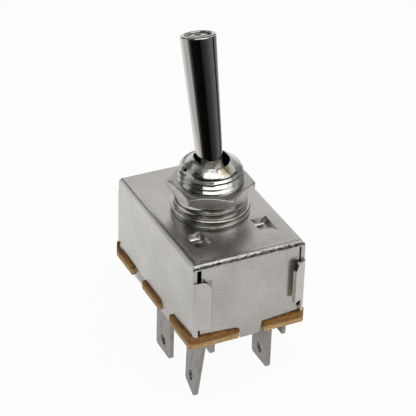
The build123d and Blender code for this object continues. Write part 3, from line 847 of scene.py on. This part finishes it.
def lean_back(piece):
    """Leans a piece that was drawn upright onto the lever's axis."""
    piece.location = pivot
    piece.rotation_euler = (-lever_lean, 0, 0)
    pick(piece)
    bpy.ops.object.transform_apply(location=True, rotation=True, scale=True)


# %% [markdown]
# The sleeve is a chromed tube that widens towards its tip. Its outline runs up the outside, over
# the round rim, down into the recess for the rod's head and back through the bore. The round rim
# matters most, because it is what catches the light.

# %% Lever sleeve
core_radius = 1.70
sleeve_foot_radius = 2.45
sleeve_foot = 3.0
tip_radius = 3.35
lever_length = 26.55
recess_radius = 2.50
recess_depth = 0.70
recess_round = 0.1
recess_floor = lever_length - recess_depth
edge = 0.35
rim = arc((tip_radius - edge, lever_length - edge), edge, 0, 90, 5)
lip = arc((recess_radius + edge / 2, lever_length - edge / 2), edge / 2, 90, 180, 4)
sleeve = turned(
    "chrome_sleeve",
    [(core_radius, sleeve_foot), (sleeve_foot_radius, sleeve_foot), (2.76, 11.0), (3.06, 19.0)]
    + rim + lip
    + [(recess_radius, recess_floor + recess_round), (recess_radius - recess_round, recess_floor)]
    + [(core_radius, recess_floor)],
    closed=True,
)
lean_back(sleeve)
close_up(sleeve)
stand_for(sleeve, "lever_sleeve")

# %% [markdown]
# The rod carries the ball on which the lever turns, and below it the bore for the sprung plunger.
# At the top it was hammered flat over the sleeve, which left a low ring with a dimple inside.

# %% Lever rod
stem_radius = 2.50
stem_length = 13.6
stem_edge = 0.2
ball_radius = 3.05
plunger_bore_radius = 1.65
plunger_bore_top = 3.8
peen_radius = 2.0
overlap = 0.01
stem_angle = math.degrees(math.acos(stem_radius / ball_radius))
shoulder_angle = math.degrees(math.acos(sleeve_foot_radius / ball_radius))
peened_tip = [
    (peen_radius - 0.05, 0.03), (peen_radius, 0.12), (1.86, 0.34), (1.50, 0.50),
    (1.10, 0.52), (0.80, 0.46), (0.40, 0.36),
]
lever_rod = turned(
    "peened_rod",
    [(plunger_bore_radius, -plunger_bore_top), (plunger_bore_radius, -stem_length)]
    + [(stem_radius - stem_edge, -stem_length), (stem_radius, -stem_length + stem_edge)]
    + arc((0, 0), ball_radius, -stem_angle, shoulder_angle, 16)
    + [(sleeve_foot_radius, sleeve_foot), (core_radius, sleeve_foot + overlap)]
    + [(core_radius, recess_floor + overlap)]
    + [(radius, recess_floor + height) for radius, height in peened_tip],
)
lean_back(lever_rod)
close_up(lever_rod)
stand_for(lever_rod, "lever_core")

# %% [markdown]
# The bushing is turned too: a staked rim under the sheet, the flange, a plain shank that later
# carries the thread, and the dome. The dome's points are closer together, so that it looks round.

# %% Bushing
flange_radius = 7.5
flange_thickness = 1.5
flange_edge = 0.34
root_radius = 5.42
root_edge = 0.1
shank_radius = 5.9
staked_radius = 6.8
staked_edge = 0.4
sheet_thickness = 0.8
dome_foot = 7.2
dome_neck = 0.35
mouth_radius = 3.4
bushing_top = bushing_high[2] / MM
bushing_bottom = bushing_low[2] / MM
sheet_top = -flange_thickness
sheet_under = sheet_top - sheet_thickness
dome = [
    (5.5, dome_foot), (5.46, 7.5), (5.30, 7.8), (5.02, 8.1), (4.62, 8.42), (4.20, 8.74),
    (3.80, 9.02), (mouth_radius, bushing_top),
]
bushing = turned(
    "turned_bushing",
    [(staked_radius - staked_edge, bushing_bottom), (staked_radius, bushing_bottom + staked_edge)]
    + [(staked_radius, sheet_under), (shank_radius, sheet_under - 0.001)]
    + [(shank_radius, sheet_top)]
    + arc((flange_radius - flange_edge, sheet_top + flange_edge), flange_edge, -90, 0, 4)
    + arc((flange_radius - flange_edge, -flange_edge), flange_edge, 0, 90, 4)
    + [(root_radius + root_edge, 0.0), (root_radius, root_edge)]
    + [(root_radius, dome_foot - dome_neck)]
    + dome,
)
close_up(bushing)

# %% [markdown]
# One slot lets the lever through, as long as its throw needs. Below the pivot a longer one gives
# room to its stem, and two narrow ones hold its pin. A mill cuts them on the real bushing. Here a
# cutter of each slot's shape is taken away, and then the cut edges are rounded as if worn.

# %% Slots through the bushing
slot_half_width = 3.15
lever_slot_half_length = 3.72
stem_slot_half_length = 5.16
pin_slot_radius = 1.05
pin_slot_half_length = 4.7
worn_edge = 0.12
pivot_height = pivot.z / MM
above = bushing_top + 1
below = bushing_bottom - 1


def slot_cutter(half_length, low, high):
    """A bar with round ends: a cylinder whose two halves are pulled apart along Y."""
    bpy.ops.object.select_all(action="DESELECT")
    bpy.ops.mesh.primitive_cylinder_add(
        vertices=64, radius=slot_half_width * MM, depth=(high - low) * MM,
        location=(0, 0, (low + high) / 2 * MM),
    )
    cutter = fresh("slot_cutter")
    for side in (-1, 1):
        select_parts(cutter, "VERT", lambda vertex: side * vertex.co.y > 0.01 * MM)
        pull = side * (half_length - slot_half_width) * MM
        bpy.ops.transform.translate(value=(0, pull, 0))
        bpy.ops.object.mode_set(mode="OBJECT")
    return cutter


cut(bushing, slot_cutter(lever_slot_half_length, below, above))
cut(bushing, slot_cutter(stem_slot_half_length, below, pivot_height))
bpy.ops.object.select_all(action="DESELECT")
bpy.ops.mesh.primitive_cylinder_add(
    vertices=32, radius=pin_slot_radius * MM, depth=2 * pin_slot_half_length * MM,
    location=(0, 0, pivot_height * MM), rotation=(0, math.radians(90), 0),
)
cut(bushing, fresh("pin_cutter"))
bpy.ops.object.select_all(action="DESELECT")
bpy.ops.mesh.primitive_cube_add(
    size=1, location=(0, 0, (pivot_height + below) / 2 * MM),
    scale=(2 * pin_slot_half_length * MM, 2 * pin_slot_radius * MM, (pivot_height - below) * MM),
)
cut(bushing, fresh("pin_slot_cutter"))
apply_modifier(
    bushing, "BEVEL", width=worn_edge * MM, segments=3, limit_method="ANGLE",
    angle_limit=math.radians(38), use_clamp_overlap=True,
)
close_up(bushing)
stand_for(bushing, "bushing")

# %% [markdown]
# The thread is one small wedge, carried round and up by the screw modifier. Near the top the last
# ridge is lower, where the thread runs out under the dome. Separate rings would be simpler, but
# they don't climb, and the eye sees that at once on a bright thread.

# %% Thread
crest_radius = 6.0
thread_pitch = 1.0
thread_turns = 7.5
thread_start = 0.35
wedge_radius = 0.48
wedge_depth = 0.40
runout_level = 7.05 * MM
runout_share = 0.955
thread_steps = round(72 * thread_turns)
bpy.ops.object.select_all(action="DESELECT")
bpy.ops.mesh.primitive_circle_add(
    vertices=4, radius=wedge_radius * MM, rotation=(math.radians(90), 0, 0))
thread = fresh("thread_ridge")
bpy.ops.object.mode_set(mode="EDIT")
bpy.ops.mesh.select_all(action="SELECT")
bpy.ops.transform.translate(value=((crest_radius - wedge_depth) * MM, 0, thread_start * MM))
bpy.ops.object.mode_set(mode="OBJECT")
apply_modifier(
    thread, "SCREW", angle=math.radians(360) * thread_turns, steps=thread_steps,
    render_steps=thread_steps, screw_offset=thread_pitch * thread_turns * MM,
)
pick(thread)
bpy.ops.object.mode_set(mode="EDIT")
bpy.ops.mesh.select_mode(type="EDGE")
bpy.ops.mesh.select_all(action="DESELECT")
bpy.ops.mesh.select_non_manifold()
bpy.ops.mesh.edge_face_add()
bpy.ops.object.mode_set(mode="OBJECT")
select_parts(thread, "VERT", lambda vertex: vertex.co.z > runout_level)
bpy.ops.transform.resize(
    value=(runout_share, runout_share, 1), center_override=(0, 0, runout_level))
bpy.ops.object.mode_set(mode="OBJECT")
close_up(thread, sharp_degrees=60.0)
thread.data.materials.append(nickel_bushing)
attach(thread, "housing")
print(thread.name, "has", len(thread.data.polygons), "faces")

# %% [markdown]
# Polished metal shows the room, so the room is built for it. The photo's dark bands come from the
# dark side of the room behind the camera, and its bright areas from two soft lamps. The walls and
# cards are seen only in reflections: they throw no shadow and no light.

# %% Steps for the lights
def towards(turn_degrees, height_degrees):
    """Direction from the switch: turn from the camera's side, to the right, and height."""
    turn_angle = camera_azimuth - math.radians(turn_degrees)
    height_angle = math.radians(height_degrees)
    level = math.cos(height_angle)
    return Vector(
        (-math.sin(turn_angle) * level, -math.cos(turn_angle) * level, math.sin(height_angle)))


def facing(direction):
    return direction.to_track_quat("Z", "Y").to_euler()


def lamp(name, turn_degrees, height_degrees, wide_mm, high_mm, brightness):
    """A soft box. Its brightness is the radiance that a mirror would show."""
    direction = towards(turn_degrees, height_degrees)
    bpy.ops.object.light_add(
        type="AREA", location=direction * lamp_distance, rotation=facing(direction))
    box = bpy.context.object
    box.name = name
    box.data.shape = "RECTANGLE"
    box.data.size = wide_mm * MM
    box.data.size_y = high_mm * MM
    box.data.energy = brightness * wide_mm * high_mm * MM * MM * math.pi
    print("lamp", name)


def mirrored_only(piece):
    """Seen by polished metal alone: it throws no shadow and no light."""
    for way in ("visible_camera", "visible_diffuse", "visible_shadow", "visible_transmission"):
        setattr(piece, way, False)
    print("mirrored", piece.name)


def card_paint(name):
    """A black paint, and its emission strength for the glow."""
    paint = bpy.data.materials.new(name)
    paint.use_nodes = True
    shade = paint.node_tree.nodes["Principled BSDF"]
    shade.inputs["Base Color"].default_value = (0, 0, 0, 1)
    shade.inputs["Roughness"].default_value = 1.0
    shade.inputs["Specular IOR Level"].default_value = 0.0
    shade.inputs["Emission Color"].default_value = (1, 1, 1, 1)
    return paint, shade.inputs["Emission Strength"]


def card(name, place, direction, size, glow):
    """A square card that faces along a direction."""
    paint, strength = card_paint(name + "_paint")
    strength.default_value = glow
    bpy.ops.object.select_all(action="DESELECT")
    bpy.ops.mesh.primitive_plane_add(size=size, location=place, rotation=facing(direction))
    piece = bpy.context.object
    piece.name = name
    piece.data.materials.append(paint)
    mirrored_only(piece)


# %% [markdown]
# Two soft boxes hang high above the switch, one on the camera's side and one to the right. Large
# lamps give soft shadows, and polished metal mirrors them as calm bright areas.

# %% Lamps
lamp_distance = 300 * MM
lamp("front_box", turn_degrees=0, height_degrees=62, wide_mm=230, high_mm=170, brightness=1.7)
lamp("right_box", turn_degrees=62, height_degrees=46, wide_mm=180, high_mm=210, brightness=1.15)

# %% [markdown]
# The wall bends round the room, from its left end past the camera to its right end. Its glow
# changes along the way, and each change is an edge that the lever and the bushing mirror.

# %% Wall of the room
wall_left = -112
wall_right = 150
wall_distance = 92 * MM
wall_top = 52 * MM
wall_steps = 60
wall_slant = 0.0007 / MM
wall_glow = [
    (-100, 0.62), (-70, 0.58), (-62, 0.22), (-55, 0.055), (-46, 0.040), (-40, 0.006),
    (18, 0.002), (28, 0.024), (60, 0.060), (85, 0.15), (104, 0.19), (108, 0.004),
    (116, 0.004), (120, 0.20), (140, 0.26), (150, 0.50),
]
start = towards(wall_left, 0) * wall_distance
bpy.ops.object.select_all(action="DESELECT")
bpy.ops.mesh.primitive_circle_add(vertices=3, radius=1 * MM)
wall = bpy.context.object
wall.name = "room_wall"
bpy.ops.object.mode_set(mode="EDIT")
bpy.ops.mesh.select_all(action="SELECT")
bpy.ops.mesh.merge(type="CENTER")
bpy.ops.transform.translate(value=(start.x, start.y, floor_level))
bpy.ops.mesh.extrude_region_move(
    TRANSFORM_OT_translate={"value": (0, 0, wall_top - floor_level)})
bpy.ops.mesh.select_all(action="SELECT")
bpy.ops.mesh.spin(
    steps=wall_steps, angle=math.radians(wall_left - wall_right), center=(0, 0, 0),
    axis=(0, 0, 1),
)
bpy.ops.object.mode_set(mode="OBJECT")
paint, paint_glow = card_paint("wall_paint")
tree = paint.node_tree
place = places(tree)
swing = tree.nodes.new("ShaderNodeMapping")
swing.inputs["Rotation"].default_value = (0, 0, math.radians(90) + camera_azimuth)
round_the_room = tree.nodes.new("ShaderNodeTexGradient")
round_the_room.gradient_type = "RADIAL"
tree.links.new(place, swing.inputs["Vector"])
tree.links.new(swing.outputs["Vector"], round_the_room.inputs["Vector"])
slant = combined(tree, "MULTIPLY", axes_of(tree, place)["Z"], wall_slant)
around = combined(tree, "ADD", slant, round_the_room.outputs["Fac"])
stops = [(turned_by / 360 + 0.5, glow) for turned_by, glow in wall_glow]
tree.links.new(steps(paint, around, stops), paint_glow)
wall.data.materials.append(paint)
mirrored_only(wall)

# %% [markdown]
# Single cards do the rest. A dark flag stands behind the switch, where the front of its top mirrors
# it. Two dark cards above the wall on the left are mirrored by the thread, the flange and the
# frame's front bend. A bright one on the right lights the peaks in the stops.

# %% Cards
flag_distance = 50 * MM
flag_lift = 41 * MM
flag_shift = 12 * MM
mirror_way = Vector((-back.x, -back.y, back.z))
flag_level = Vector((mirror_way.y, -mirror_way.x, 0)).normalized()
flag_up = flag_level.cross(mirror_way)
flag_centre = mirror_way * flag_distance + flag_up * flag_lift - flag_level * flag_shift
card("dark_flag", flag_centre, mirror_way, 60 * MM, 0.10)
card_distance = 105 * MM
for card_name, turned_to, raised_to, card_size, glow in (
    ("left_card", -62, 40, 70 * MM, 0.05),
    ("left_bend_card", -126, 27, 50 * MM, 0.14),
    ("stop_card", 42, 58, 46 * MM, 2.2),
):
    card_way = towards(turned_to, raised_to)
    card(card_name, card_way * card_distance, card_way, card_size, glow)
